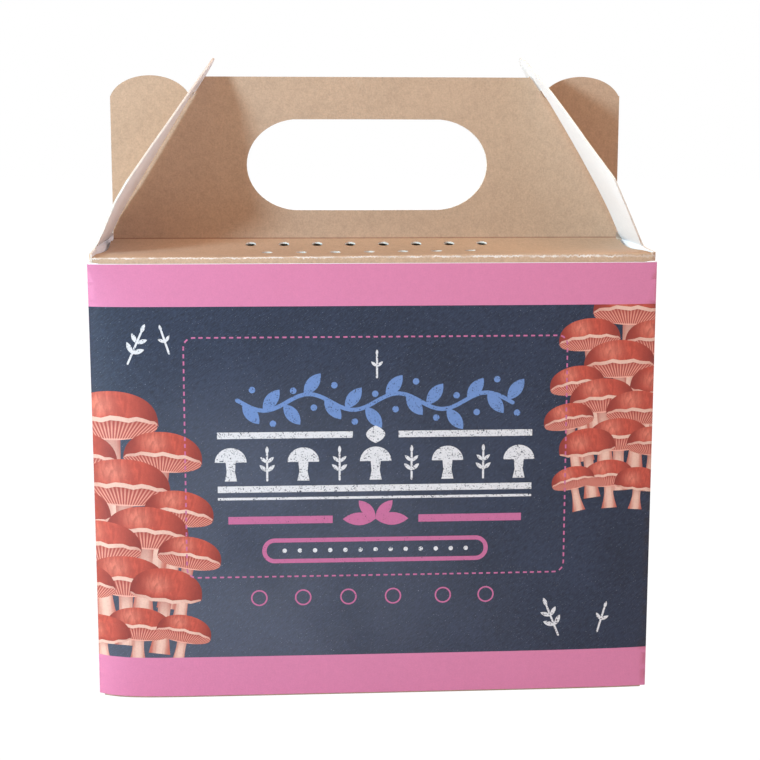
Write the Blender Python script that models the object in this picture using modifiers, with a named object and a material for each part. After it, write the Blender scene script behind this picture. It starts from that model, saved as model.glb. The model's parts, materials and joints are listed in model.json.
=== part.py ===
"""Carry carton of a mushroom grow kit: folded board carton with a double handle, two lock flaps,
a card sleeve round the body and the grow bag inside. Metres, +Z up, the front faces -Y, and the
origin is on the floor under the middle of the carton. Run it with
blender --background --python part.py or from Blender's text editor."""

from math import acos, cos, exp, pi, radians, sin

import bmesh
import bpy
from mathutils import Matrix, Vector

# Driving dimensions of the carton
WIDTH = 0.220                 # outside, along X
DEPTH = 0.108                 # outside, along Y, at the creases
CREASE_Z = 0.177              # the front and back top creases, which the leaves fold on
SIDE_CREASE_Z = 0.1795        # the side walls' top creases, which the lock flaps fold on
CORNER_Z = 0.1784             # top of the side walls at their ends, past the lock flaps
BOARD = 0.0007                # thickness of the carton board
SLEEVE_BOARD = 0.0005         # thickness of the sleeve's card
GAP = 0.0003                  # clearance left between neighbouring pieces
BULGE = 0.0052                # how far the filled box pushes its front and back walls out

# Front and back leaf: a top panel that curves up into a handle panel
PANEL_RISE = 0.0035           # height that a top panel gains from its crease to the handle
PANEL_CURVE = 4               # power of that rise
TAB_DEPTH = 0.0065            # tab at each corner of the box, past the relieved end of the panel
HANDLE_TOP_Z = 0.2468
HANDLE_END_X = 0.1058         # outer edge of the ears
HAND_HOLE_LENGTH = 0.1003
HAND_HOLE_HEIGHT = 0.0377
HAND_HOLE_Z = 0.2110
EAR_X = 0.0895                # middle of the round top of an ear, which is half an ellipse
EAR_TOP_Z = 0.2472
EAR_RISE = 0.0115
EAR_REACH = 0.0168
VENT_DIAMETER = 0.0044
VENT_PITCH = 0.01375

# Lock flap: folds inward from a side wall, its slot over the ear
FLAP_LEAN = radians(31.8)     # from the vertical
FLAP_LENGTH = 0.0885
FLAP_BOW = 0.0010             # how far its middle stands out from a straight line
FLAP_HALF_WIDTH = 0.051
FLAP_ROOT_HALF_WIDTH = 0.0350
FLAP_SLOT_START = 0.0050      # along the flap, from its crease
FLAP_SLOT_END = 0.0726
FLAP_SLOT_WIDTH = 0.0032
NOTCH_BOTTOM = 0.0693         # where the handle's notch ends, along the flap
NOTCH_CLEARANCE = 0.0006

# Sleeve and grow bag
SLEEVE_FOOT_Z = 0.0008
SLEEVE_TOP_Z = 0.174
BAG_TOP_Z = 0.150
BAG_SIDE_ROOM = 0.0035        # space between the bag and the walls
BAG_EDGE = 0.012

HALF_WIDTH = WIDTH / 2
HALF_DEPTH = DEPTH / 2
HANDLE_OUTER_Y = GAP / 2 + BOARD
CUTTER_REACH = 0.02

X_AXIS, Y_AXIS, Z_AXIS = Vector((1, 0, 0)), Vector((0, 1, 0)), Vector((0, 0, 1))


def new_collection(name):
    collection = bpy.data.collections.new(name)
    bpy.context.scene.collection.children.link(collection)
    return collection


def material(name, colour, roughness):
    made = bpy.data.materials.new(name)
    made.use_nodes = True
    shader = made.node_tree.nodes["Principled BSDF"]
    shader.inputs["Base Color"].default_value = (*colour, 1)
    shader.inputs["Roughness"].default_value = roughness
    shader.inputs["Metallic"].default_value = 0
    return made


def add_object(name, mesh, collection, location=(0, 0, 0)):
    made = bpy.data.objects.new(name, mesh)
    made.location = location
    collection.objects.link(made)
    return made


def mesh_from_bmesh(name, bm):
    mesh = bpy.data.meshes.new(name)
    bm.to_mesh(mesh)
    bm.free()
    return mesh


def frame(a, b, origin=(0, 0, 0)):
    """The matrix that puts a flat drawing's two axes along a and b."""
    turned = Matrix((a, b, a.cross(b))).transposed().to_4x4()
    turned.translation = origin
    return turned


def prism(name, outlines, thickness, matrix, collection):
    """A flat drawing of closed outlines, inner ones as holes, given a thickness about its plane."""
    curve = bpy.data.curves.new(name, "CURVE")
    curve.dimensions = "2D"
    curve.fill_mode = "BOTH"
    curve.extrude = thickness / 2
    for outline in outlines:
        spline = curve.splines.new("POLY")
        spline.points.add(len(outline) - 1)
        spline.use_cyclic_u = True
        for point, (a, b) in zip(spline.points, outline):
            point.co = (a, b, 0, 1)
    drawing = add_object(name + "_drawing", curve, collection)
    drawing.matrix_world = matrix
    bpy.context.view_layer.update()
    evaluated = drawing.evaluated_get(bpy.context.evaluated_depsgraph_get())
    mesh = bpy.data.meshes.new_from_object(evaluated)
    mesh.transform(matrix)
    mesh.name = name
    bpy.data.objects.remove(drawing)
    bpy.data.curves.remove(curve)
    bm = bmesh.new()
    bm.from_mesh(mesh)
    bmesh.ops.remove_doubles(bm, verts=bm.verts, dist=0.000005)
    bmesh.ops.recalc_face_normals(bm, faces=bm.faces)
    bm.to_mesh(mesh)
    bm.free()
    return add_object(name, mesh, collection)


def box(name, low, high, collection):
    bm = bmesh.new()
    bmesh.ops.create_cube(bm, size=1)
    size = Vector(high) - Vector(low)
    middle = (Vector(high) + Vector(low)) / 2
    bmesh.ops.scale(bm, verts=bm.verts, vec=size)
    bmesh.ops.translate(bm, verts=bm.verts, vec=middle)
    return add_object(name, mesh_from_bmesh(name, bm), collection)


def cylinder(name, diameter, length, location, collection):
    bm = bmesh.new()
    bmesh.ops.create_cone(bm, cap_ends=True, segments=16, radius1=diameter / 2,
                          radius2=diameter / 2, depth=length)
    return add_object(name, mesh_from_bmesh(name, bm), collection, location)


def combine(target, other, operation):
    """Boolean modifier on target. The other object becomes a cutter that isn't rendered."""
    modifier = target.modifiers.new(other.name, "BOOLEAN")
    modifier.operation = operation
    modifier.object = other
    other.hide_render = True
    other.display_type = "WIRE"


def arc(centre, radius, start, end, steps):
    """Points on an arc, from one angle to another in radians."""
    angles = [start + (end - start) * step / steps for step in range(steps + 1)]
    return [(centre[0] + radius * cos(angle), centre[1] + radius * sin(angle)) for angle in angles]


def mirrored(half):
    """Closes a half outline, drawn at positive a, with its mirror image."""
    return half + [(-a, b) for a, b in reversed(half)]


def bulge(x, z):
    """How far the front and back walls stand out: little at the creases, most left of the middle."""
    along = min(max((x + HALF_WIDTH) / WIDTH, 0), 1)
    up = min(max(z / CREASE_Z, 0), 1)
    return BULGE * (1 - exp(-along / 0.045)) * (1 - along ** 2.2) * (1 - up ** 8)


def bulged_box(name, half_width, half_depth, foot, top, collection):
    """A box whose front and back walls follow the bulge."""
    bm = bmesh.new()
    bmesh.ops.create_cube(bm, size=1)
    bmesh.ops.scale(bm, verts=bm.verts, vec=(2 * half_width, 2 * half_depth, top - foot))
    bmesh.ops.translate(bm, verts=bm.verts, vec=(0, 0, (top + foot) / 2))
    cuts = [(X_AXIS, x) for x in (-0.105, -0.099, -0.091, -0.08, -0.06, -0.03, 0, 0.03, 0.06, 0.085)]
    cuts += [(Z_AXIS, z) for z in (0.06, 0.1, 0.125, 0.143, 0.156, 0.166, 0.172, CREASE_Z)]
    for normal, distance in cuts:
        geometry = bm.verts[:] + bm.edges[:] + bm.faces[:]
        bmesh.ops.bisect_plane(bm, geom=geometry, plane_co=normal * distance, plane_no=normal)
    for vertex in bm.verts:
        side = 1 if vertex.co.y > 0 else -1
        vertex.co.y += side * bulge(vertex.co.x, vertex.co.z)
    bmesh.ops.triangulate(bm, faces=bm.faces)
    return add_object(name, mesh_from_bmesh(name, bm), collection)


def build_carton_body(parts, cutters):
    """Four walls and a floor, open on top, with the edges of the bottom flaps underneath."""
    body = bulged_box("carton_body", HALF_WIDTH, HALF_DEPTH, 0, SIDE_CREASE_Z - 2 * GAP, parts)
    cavity = bulged_box("body_cavity", HALF_WIDTH - BOARD, HALF_DEPTH - BOARD, BOARD,
                        CREASE_Z + CUTTER_REACH, cutters)
    combine(body, cavity, "DIFFERENCE")

    # The front and back walls end under the top panels. The side walls rise to the creases of the
    # lock flaps, but less so at their ends.
    for side in (-1, 1):
        near, far = sorted((side * (HALF_DEPTH - 1.5 * BOARD), side * (HALF_DEPTH + CUTTER_REACH)))
        trim = box("wall_trim", (-HALF_WIDTH + BOARD / 2, near, CREASE_Z - BOARD - GAP),
                   (HALF_WIDTH - BOARD / 2, far, CREASE_Z + CUTTER_REACH), cutters)
        combine(body, trim, "DIFFERENCE")
        near, far = sorted((side * (FLAP_ROOT_HALF_WIDTH + 0.0005), side * (DEPTH)))
        corner = box("corner_trim", (-WIDTH, near, CORNER_Z), (WIDTH, far, CREASE_Z + CUTTER_REACH),
                     cutters)
        combine(body, corner, "DIFFERENCE")

    # Edges of the folded bottom: the front flap with its tongue, and both side flaps behind it
    groove_width, groove_depth = 0.0006, 0.0004
    shoulder_x, shoulder_y = 0.064, -0.010
    tongue_root_x, tongue_tip_x, tongue_y = 0.033, 0.028, 0.016
    corner_x, corner_y = HALF_WIDTH - 0.006, HALF_DEPTH - 0.004
    half_route = [(0, tongue_y), (tongue_tip_x, tongue_y), (tongue_root_x, shoulder_y),
                  (shoulder_x, shoulder_y), (corner_x, -corner_y)]
    segments = list(zip(half_route, half_route[1:]))
    segments.append(((shoulder_x, shoulder_y), (corner_x, corner_y)))
    for number, (start, end) in enumerate(segments):
        for side in (-1, 1):
            a = Vector((side * start[0], start[1], 0))
            b = Vector((side * end[0], end[1], 0))
            run = b - a
            length = run.length + groove_width
            groove = box(f"bottom_edge_{number}", (-length / 2, -groove_width / 2, -groove_depth),
                         (length / 2, groove_width / 2, groove_depth), cutters)
            groove.rotation_euler.z = Vector((1, 0)).angle_signed(run.xy) * -1
            groove.location = (a + b) / 2
            combine(body, groove, "DIFFERENCE")
    return body


def panel_height(y):
    """Height of a top panel's upper face, y from its crease at the wall to the handle."""
    along = (HALF_DEPTH - abs(y)) / (HALF_DEPTH - HANDLE_OUTER_Y)
    return CREASE_Z + PANEL_RISE * min(along, 1) ** PANEL_CURVE


def flap_point(along, off):
    """(x, z) on the right-hand lock flap: along it from the crease, off its outer face outward."""
    part = along / FLAP_LENGTH
    out = off + 4 * FLAP_BOW * part * (1 - part)
    x = HALF_WIDTH - sin(FLAP_LEAN) * along + cos(FLAP_LEAN) * out
    z = SIDE_CREASE_Z + cos(FLAP_LEAN) * along + sin(FLAP_LEAN) * out
    return x, z


def handle_half_outline(base_z):
    """Right half of a handle panel: ear with a round top, then the notch for the lock flap."""
    notch_outer_x, notch_outer_z = flap_point(NOTCH_BOTTOM, NOTCH_CLEARANCE)
    shoulder = acos((HANDLE_END_X - EAR_X) / EAR_REACH)
    inner = acos((notch_outer_x - 0.0003 - EAR_X) / EAR_REACH)
    ear_top = [(EAR_X + EAR_REACH * a, EAR_TOP_Z - EAR_RISE + EAR_RISE * b)
               for a, b in arc((0, 0), 1, shoulder, inner, 14)]
    reach = (HANDLE_TOP_Z - SIDE_CREASE_Z) / cos(FLAP_LEAN)
    notch_inner_top = (flap_point(reach, -BOARD - NOTCH_CLEARANCE)[0], HANDLE_TOP_Z)
    return [(HANDLE_END_X, base_z), *ear_top, (notch_outer_x, notch_outer_z),
            flap_point(NOTCH_BOTTOM, -BOARD - NOTCH_CLEARANCE), notch_inner_top]


def build_handle_leaf(name, side, parts, cutters):
    """Top panel and handle panel of one side, -1 for the front and 1 for the back."""
    handle_y = side * (GAP + BOARD) / 2
    base_z = CREASE_Z + PANEL_RISE - BOARD / 2

    # Top panel: a strip of board that curves up towards the handle
    steps = 10
    run = [HALF_DEPTH + (abs(handle_y) - HALF_DEPTH) * step / steps for step in range(steps + 1)]
    upper = [(side * y, panel_height(y)) for y in run]
    lower = [(y, z - BOARD) for y, z in reversed(upper)]
    between_walls = 2 * (HALF_WIDTH - BOARD - GAP)
    leaf = prism(name, [upper + lower], between_walls, frame(Y_AXIS, Z_AXIS), parts)

    # Its ends stop short of the side walls, but for a tab at each corner of the box, which a
    # quarter ellipse leads to.
    tab_y = HALF_DEPTH - TAB_DEPTH
    outside_x = HALF_WIDTH + CUTTER_REACH
    root_x = HANDLE_END_X - 0.0004
    relief = [(root_x, GAP), (root_x, 2 * HANDLE_OUTER_Y), (0.1052, 0.016), (0.1048, 0.026)]
    relief += [(0.1135 - 0.0088 * a, tab_y - 0.0115 + 0.0115 * b)
               for a, b in arc((0, 0), 1, 0, pi / 2, 7)]
    relief += [(outside_x, tab_y), (outside_x, GAP)]
    for end in (-1, 1):
        outline = [(end * x, side * y) for x, y in relief]
        place = frame(X_AXIS, Y_AXIS, (0, 0, CREASE_Z))
        combine(leaf, prism(f"{name}_end", [outline], 0.03, place, cutters), "DIFFERENCE")

    # Handle panel, with the hand hole
    straight = (HAND_HOLE_LENGTH - HAND_HOLE_HEIGHT) / 2
    hole_arc = arc((straight, HAND_HOLE_Z), HAND_HOLE_HEIGHT / 2, -pi / 2, pi / 2, 14)
    outlines = [mirrored(handle_half_outline(base_z)), mirrored(hole_arc)]
    place = frame(X_AXIS, Z_AXIS, (0, handle_y, 0))
    combine(leaf, prism(f"{name}_handle", outlines, BOARD, place, cutters), "UNION")

    # Vent holes, in two staggered rows
    for row_y, count, first_x in ((0.0085, 8, -0.0488), (0.0260, 7, -0.0420)):
        for number in range(count):
            x = first_x + number * VENT_PITCH
            place = (x, side * row_y, panel_height(row_y))
            combine(leaf, cylinder(f"{name}_vent", VENT_DIAMETER, 0.01, place, cutters), "DIFFERENCE")
    return leaf


def flap_outline():
    """Outline of a lock flap in its own plane: across it, and along it from the crease."""
    root = GAP * 1.2
    tip_radius = 0.0115
    half = [(FLAP_ROOT_HALF_WIDTH, root), (FLAP_ROOT_HALF_WIDTH + 0.0005, root + 0.0015),
            (0.0391, 0.0091), (0.0453, 0.0207), (0.0505, 0.0300), (FLAP_HALF_WIDTH, 0.0314),
            (0.0502, 0.0330), (0.0432, 0.0420), (0.0339, 0.0549), (0.0210, 0.0715), (0.0130, 0.0795)]
    tip = arc((0, FLAP_LENGTH - tip_radius), tip_radius, radians(25), radians(80), 5)
    return mirrored(half + tip)


def build_lock_flap(name, side, parts, cutters):
    """A lock flap, -1 for the left one and 1 for the right one, with its origin on its crease."""
    crease = Vector((side * HALF_WIDTH, 0, SIDE_CREASE_Z))
    steps = 12
    stations = [FLAP_LENGTH * 1.02 * step / steps for step in range(steps + 1)]
    outer = [flap_point(along, 0) for along in stations]
    inner = [flap_point(along, -BOARD) for along in reversed(stations)]
    profile = [(side * x - crease.x, z - crease.z) for x, z in outer + inner]
    flap = prism(name, [profile], 4 * FLAP_HALF_WIDTH, frame(X_AXIS, Z_AXIS), parts)
    flap.location = crease

    up_flap = Vector((-side * sin(FLAP_LEAN), 0, cos(FLAP_LEAN)))
    place = frame(Y_AXIS, up_flap, crease)
    outline = prism(f"{name}_outline", [flap_outline()], 2 * CUTTER_REACH, place, cutters)
    combine(flap, outline, "INTERSECT")
    half = FLAP_SLOT_WIDTH / 2
    slot = [(half, FLAP_SLOT_START), (half, FLAP_SLOT_END), (-half, FLAP_SLOT_END),
            (-half, FLAP_SLOT_START)]
    combine(flap, prism(f"{name}_slot", [slot], 2 * CUTTER_REACH, place, cutters), "DIFFERENCE")
    return flap


def build_sleeve(parts, cutters):
    """The card sleeve round the body: a plain tube, open at top and bottom."""
    inside = GAP
    outside = GAP + SLEEVE_BOARD
    sleeve = bulged_box("printed_sleeve", HALF_WIDTH + outside, HALF_DEPTH + outside,
                        SLEEVE_FOOT_Z, SLEEVE_TOP_Z, parts)
    hollow = bulged_box("sleeve_hollow", HALF_WIDTH + inside, HALF_DEPTH + inside,
                        SLEEVE_FOOT_Z - CUTTER_REACH, SLEEVE_TOP_Z + CUTTER_REACH, cutters)
    combine(sleeve, hollow, "DIFFERENCE")
    return sleeve


def build_grow_bag(parts):
    """The bag of substrate that stands in the carton: a block with soft edges."""
    room = BOARD + BAG_SIDE_ROOM
    low = (-HALF_WIDTH + room, -HALF_DEPTH + room, BOARD + GAP)
    high = (HALF_WIDTH - room, HALF_DEPTH - room, BAG_TOP_Z)
    bag = box("grow_bag", low, high, parts)
    soft = bag.modifiers.new("soft edges", "BEVEL")
    soft.width = BAG_EDGE
    soft.segments = 4
    return bag


def main():
    for old in list(bpy.data.objects):
        bpy.data.objects.remove(old)
    parts = new_collection("mushroom_grow_kit")
    cutters = new_collection("cutters")

    kraft = material("kraft_board", (0.52, 0.37, 0.25), 0.85)
    print_card = material("printed_card", (0.055, 0.065, 0.105), 0.6)
    bag_film = material("bag_film", (0.62, 0.58, 0.50), 0.45)

    pieces = {
        kraft: [
            build_carton_body(parts, cutters),
            build_handle_leaf("front_handle_leaf", -1, parts, cutters),
            build_handle_leaf("back_handle_leaf", 1, parts, cutters),
            build_lock_flap("left_lock_flap", -1, parts, cutters),
            build_lock_flap("right_lock_flap", 1, parts, cutters),
        ],
        print_card: [build_sleeve(parts, cutters)],
        bag_film: [build_grow_bag(parts)],
    }
    for finish, group in pieces.items():
        for piece in group:
            piece.data.materials.append(finish)


main()
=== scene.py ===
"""Metres throughout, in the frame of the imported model, with the front towards -Y."""

import json
from math import atan2, cos, exp, pi, radians, sin, tan

import bmesh
import bpy
from mathutils import Matrix, Vector
from mathutils.geometry import delaunay_2d_cdt


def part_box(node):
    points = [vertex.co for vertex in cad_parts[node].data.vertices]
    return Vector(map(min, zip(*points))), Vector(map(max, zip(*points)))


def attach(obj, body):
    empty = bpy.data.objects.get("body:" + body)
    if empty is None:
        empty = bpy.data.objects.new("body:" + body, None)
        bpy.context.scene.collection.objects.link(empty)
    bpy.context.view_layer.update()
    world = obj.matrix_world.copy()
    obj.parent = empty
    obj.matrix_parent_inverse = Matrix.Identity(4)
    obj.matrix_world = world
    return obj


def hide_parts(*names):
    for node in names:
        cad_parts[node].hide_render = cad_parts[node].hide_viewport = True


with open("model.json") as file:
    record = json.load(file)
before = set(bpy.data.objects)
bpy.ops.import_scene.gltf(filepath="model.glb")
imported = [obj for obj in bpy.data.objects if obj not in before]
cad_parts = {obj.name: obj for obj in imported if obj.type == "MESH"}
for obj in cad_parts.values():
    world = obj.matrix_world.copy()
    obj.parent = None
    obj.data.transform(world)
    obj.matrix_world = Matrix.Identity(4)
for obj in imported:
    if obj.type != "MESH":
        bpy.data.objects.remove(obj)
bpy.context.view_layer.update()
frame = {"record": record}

# Room: a plain white floor, a soft key light on the left in front of the carton, a wide and weaker
# one high in front, and weak light from all round. The camera stands a little left of the middle
# and looks slightly down.
photo_width = 760
focal_pixels = 1575
camera_place = (-0.0389, -0.6634, 0.2253)
camera_down, camera_right, camera_roll = radians(9.01), radians(3.83), radians(0.095)
light_target = (0.0, 0.0, 0.14)
# Each light's name, place, size, power and colour, and the light that comes from the room's sides
lights = (("key_light", (-0.60, -0.504, 0.391), 0.155, 5.7, (0.56, 0.81, 0.98)),
          ("fill_light", (0.10, -0.35, 1.25), 0.9, 5.0, (1.0, 0.66, 0.40)))
left_wall, right_wall = (2.70, 2.40, 1.9), (2.2, 1.85, 1.85)


def add_node(tree, kind, values=None, **settings):
    """A shader node with its properties, and its inputs set to values or linked to sockets."""
    made = tree.nodes.new("ShaderNode" + kind)
    for name, value in settings.items():
        setattr(made, name, value)
    for name, value in (values or {}).items():
        if isinstance(value, bpy.types.NodeSocket):
            tree.links.new(value, made.inputs[name])
        else:
            made.inputs[name].default_value = value
    return made


def calc(operation, a, b=0.0):
    """The result of a sum with the socket a and another socket or number, in the tree that holds a."""
    values = {0: a} if operation in ("ABSOLUTE", "SQRT") else {0: a, 1: b}
    return add_node(a.id_data, "Math", values, operation=operation).outputs[0]


def times(a, b):
    return calc("MULTIPLY", a, b)


def new_material(name, roughness):
    made = bpy.data.materials.new(name)
    made.use_nodes = True
    shader = made.node_tree.nodes["Principled BSDF"]
    shader.inputs["Roughness"].default_value = roughness
    return made, made.node_tree, shader


def show(tree, lit, seen, output):
    """Gives the camera's own rays the shader seen, and all other rays the shader lit."""
    to_camera = add_node(tree, "LightPath").outputs["Is Camera Ray"]
    either = add_node(tree, "MixShader", {0: to_camera, 1: lit.outputs[0], 2: seen.outputs[0]})
    tree.links.new(either.outputs[0], tree.nodes[output].inputs["Surface"])


def pick(*pieces):
    """Selects pieces and nothing else, the first of them active."""
    bpy.ops.object.select_all(action="DESELECT")
    for piece in pieces:
        piece.select_set(True)
    if pieces:
        bpy.context.view_layer.objects.active = pieces[0]


pick()
bpy.ops.object.camera_add()
camera = bpy.context.object
camera.name = "camera"
turn = Matrix.Rotation(-camera_right, 4, "Z") @ Matrix.Rotation(pi / 2 - camera_down, 4, "X")
camera.matrix_world = Matrix.Translation(camera_place) @ turn @ Matrix.Rotation(camera_roll, 4, "Z")
camera.data.sensor_width = 36
camera.data.lens = focal_pixels / photo_width * camera.data.sensor_width
bpy.context.scene.camera = camera
bpy.context.scene.view_settings.view_transform = "Standard"

for name, place, size, power, colour in lights:
    bpy.ops.object.light_add(type="AREA", location=place)
    light = bpy.context.object
    light.name = name
    light.data.shape = "DISK"
    light.data.size = size
    light.data.energy = power
    light.data.color = colour
    aim = Vector(light_target) - Vector(place)
    light.rotation_euler = aim.to_track_quat("-Z", "Y").to_euler()

# The room's walls at the left and right are bright, and it is darker in front, behind and above.
room = bpy.data.worlds.new("room")
room.use_nodes = True
tree = room.node_tree
sideways = add_node(tree, "SeparateXYZ", {0: add_node(tree, "TexCoord").outputs["Generated"]}).outputs[0]
walls = []
for choice, wall_colour in (("MINIMUM", left_wall), ("MAXIMUM", right_wall)):
    half = calc(choice, sideways)
    values = {0: wall_colour, "Scale": times(half, half)}
    walls.append(add_node(tree, "VectorMath", values, operation="SCALE").outputs[0])
lit = tree.nodes["Background"]
lit.inputs["Strength"].default_value = 1.0
tree.links.new(add_node(tree, "VectorMath", {0: walls[0], 1: walls[1]}).outputs[0], lit.inputs["Color"])
show(tree, lit, add_node(tree, "Background", {"Color": (1, 1, 1, 1)}), "World Output")
bpy.context.scene.world = room

bpy.ops.mesh.primitive_plane_add(size=8, location=(0, 2.5, 0))
floor = bpy.context.object
floor.name = "floor"
floor_paper, tree, paper = new_material("floor_paper", 0.9)
paper.inputs["Base Color"].default_value = (0.80, 0.80, 0.80, 1)
show(tree, paper, add_node(tree, "Emission", {"Strength": 1.05}), "Material Output")
floor.data.materials.append(floor_paper)

# Carton: one blank of folding board, brown kraft outside and white inside, 0.7 mm thick. Front and
# back each run from a bottom flap up the wall, over the top crease and up into the handle; they are
# folded from a flat grid, given their thickness, and punched with the hand hole, notches and vents.
board, gap = 0.0007, 0.0003
_, body_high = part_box("carton_body")
leaf_low, leaf_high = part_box("front_handle_leaf")
half_width = body_high.x
half_depth = -leaf_low.y
panel_half_width = leaf_high.x          # the top panels lie between the side walls
crease_z, corner_z = 0.177, 0.1783      # front and back creases; ends of the side walls' tops
side_crease_z = next(j["pos_m"][2] for j in frame["record"]["behaviour"]["joints"])
panel_rise, panel_power, panel_sag = 0.0035, 4, 0.00105
ear_top_z = leaf_high.z + 0.0003
handle_top_z = ear_top_z - 0.0004
handle_face_y = gap / 2 + board         # outer face of a handle panel
crease_radius, handle_crease_radius = 0.0010, 0.0005
wall_bulge, corner_round = 0.0029, 0.0046
flap_lean, flap_length, flap_root = radians(31.8), 0.0885, 0.0350

# How far the left and right flaps stand off a flat plane, along the middle and along the edges: pairs
# of distance from the crease and height
flap_middle = {-1: ((0, 0), (0.0045, -0.0007), (0.014, 0.0003), (0.035, 0.0004), (0.070, 0.0004),
                    (0.0885, 0)),
               1: ((0, 0), (0.0045, -0.0006), (0.0145, 0.0007), (0.035, 0.0016), (0.050, 0.0019),
                   (0.070, 0.0018), (0.0885, 0.0008))}
flap_edge = {-1: ((0, 0.0004), (0.011, 0.0009), (0.0215, 0.0019), (0.033, 0.0015), (0.059, 0.0009),
                  (0.080, 0.0001), (0.0885, 0)),
             1: ((0, 0), (0.021, 0.0007), (0.042, 0.0010), (0.063, 0.0008), (0.080, 0.0004), (0.0885, 0))}


def plus(a, b):
    return calc("ADD", a, b)


def minus(a, b):
    return calc("SUBTRACT", a, b)


def blend_colours(factor, a, b):
    return add_node(factor.id_data, "Mix", {0: factor, 6: a, 7: b}, data_type="RGBA").outputs[2]


def between(value, low, high, low_out=0.0, high_out=1.0):
    """A smooth step of value from low to high."""
    values = {"Value": value, "From Min": low, "From Max": high, "To Min": low_out, "To Max": high_out}
    return add_node(value.id_data, "MapRange", values, interpolation_type="SMOOTHSTEP").outputs[0]


def noise(where, scale, detail, stretch=None, distortion=0.0):
    if stretch is not None:
        where = add_node(where.id_data, "Mapping", {"Vector": where, "Scale": stretch}).outputs[0]
    values = {"Vector": where, "Scale": scale, "Detail": detail, "Distortion": distortion}
    return add_node(where.id_data, "TexNoise", values).outputs["Fac"]


def rgb(red, green, blue):
    """A colour as seen on a screen, 0 to 255, as the linear colour that a shader takes."""
    return tuple((c / 255 / 12.92 if c < 11 else ((c / 255 + 0.055) / 1.055) ** 2.4)
                 for c in (red, green, blue)) + (1,)


def new_group(name, inputs, outputs):
    group = bpy.data.node_groups.new(name, "ShaderNodeTree")
    for way, sockets in (("INPUT", inputs), ("OUTPUT", outputs)):
        for socket, kind in sockets.items():
            group.interface.new_socket(socket, in_out=way, socket_type="NodeSocket" + kind)
    return group, group.nodes.new("NodeGroupInput").outputs, group.nodes.new("NodeGroupOutput").inputs


def object_place(tree):
    """The place on the piece, in metres."""
    return add_node(tree, "TexCoord").outputs["Object"]


def dress(shader, colour, height, strength, distance):
    """Gives a shader its colour, and the fine relief of a height."""
    tree = shader.id_data
    values = {"Height": height, "Strength": strength, "Distance": distance}
    tree.links.new(colour, shader.inputs["Base Color"])
    tree.links.new(add_node(tree, "Bump", values).outputs[0], shader.inputs["Normal"])


def paper_look(shader, where, colour, mottle, fleck, bump):
    """Gives a shader the colour and fine relief of board or card, from the paper_fibre group."""
    values = {"Where": where, "Colour": colour, "Mottle": mottle, "Fleck": fleck}
    fibre = add_node(shader.id_data, "Group", values, node_tree=paper_fibre).outputs
    dress(shader, fibre["Colour"], fibre["Height"], bump, 0.0002)


# Fibres of the paper: cloudy mottling, short pale and dark fibres lying two ways, and fine grain
paper_fibre, given, result = new_group(
    "paper_fibre", {"Where": "Vector", "Colour": "Color", "Mottle": "Float", "Fleck": "Float"},
    {"Colour": "Color", "Height": "Float"})
tree, where, fleck = paper_fibre, given["Where"], given["Fleck"]
cloud = noise(where, 60, 3)
blotch = noise(where, 420, 3)
grain = noise(where, 1500, 3)
along = between(noise(where, 1, 2, (1500, 300, 300), 0.6), 0.58, 0.74)
across = between(noise(where, 1, 2, (300, 1300, 1300), 0.6), 0.62, 0.78)
pale = times(along, times(fleck, 0.35))
dark = times(across, times(fleck, 0.45))
cloudy = plus(times(minus(cloud, 0.5), 0.6), minus(blotch, 0.5))
cloudy = times(cloudy, given["Mottle"])
grainy = times(times(minus(grain, 0.5), fleck), 2.2)
level = plus(plus(cloudy, grainy), minus(pale, dark))
level = plus(level, 1.0)
grey = add_node(tree, "CombineColor", {0: level, 1: level, 2: level}).outputs[0]
values = {0: 1.0, 6: given["Colour"], 7: grey}
mottled = add_node(tree, "Mix", values, data_type="RGBA", blend_type="MULTIPLY").outputs[2]
tree.links.new(mottled, result["Colour"])
tree.links.new(plus(grain, times(along, 0.6)), result["Height"])

# Outside, the top creases are rubbed through to the white in a thin ragged line that comes and goes,
# and along the handle's crease runs a thin dark line of painted shade, the shadow in its fold.
kraft_colour, scuff_colour, crease_shade_colour = rgb(192, 162, 137), rgb(226, 218, 212), rgb(128, 76, 54)
kraft, tree, shader = new_material("kraft_board", 0.72)
spot = object_place(tree)
axes = add_node(tree, "SeparateXYZ", {0: spot}).outputs
depth = calc("ABSOLUTE", axes[1])
past_crease = minus(minus(axes[2], crease_z - 0.0002), minus(depth, half_depth))
wander = times(minus(noise(spot, 1, 2, (330, 60, 60)), 0.5), 0.0012)
fray = times(minus(noise(spot, 1, 3, (1300, 800, 800)), 0.5), 0.0020)
from_crease = calc("ABSOLUTE", plus(past_crease, plus(wander, fray)))
rubbed = between(from_crease, 0.00022, 0.00056, 1.0, 0.0)
patchy = between(noise(spot, 1, 2, (190, 70, 70)), 0.38, 0.56, 0.30, 1.0)
off_y = minus(depth, handle_face_y + 0.0001)
off_z = minus(axes[2], crease_z + panel_rise)
from_handle = calc("SQRT", plus(times(off_y, off_y), times(off_z, off_z)))
# Painted shade: a thin dark line along the handle's crease, where the fold would shade itself
painted_crease_shade = between(from_handle, 0.0001, 0.0006, 0.62, 0.0)
colour = blend_colours(painted_crease_shade, kraft_colour, crease_shade_colour)
colour = blend_colours(times(rubbed, patchy), colour, scuff_colour)
paper_look(shader, spot, colour, 0.24, 0.22, 0.25)

# Inside it is white, and the cut edges show its pale core in thin layers.
white_liner, tree, shader = new_material("white_liner", 0.6)
paper_look(shader, object_place(tree), rgb(246, 249, 254), 0.06, 0.04, 0.2)
cut_edge, tree, shader = new_material("cut_edge", 0.8)
paper_look(shader, object_place(tree), rgb(240, 233, 224), 0.15, 0.25, 0.6)
board_materials = (kraft, white_liner, cut_edge)


def within(share):
    """The share, held between 0 and 1."""
    return min(max(share, 0), 1)


def left_retreat(z):
    """How far the softly rounded left corners lie back from the front and back walls' planes."""
    return corner_round * (1 - within(z / crease_z) ** 3)


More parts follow.
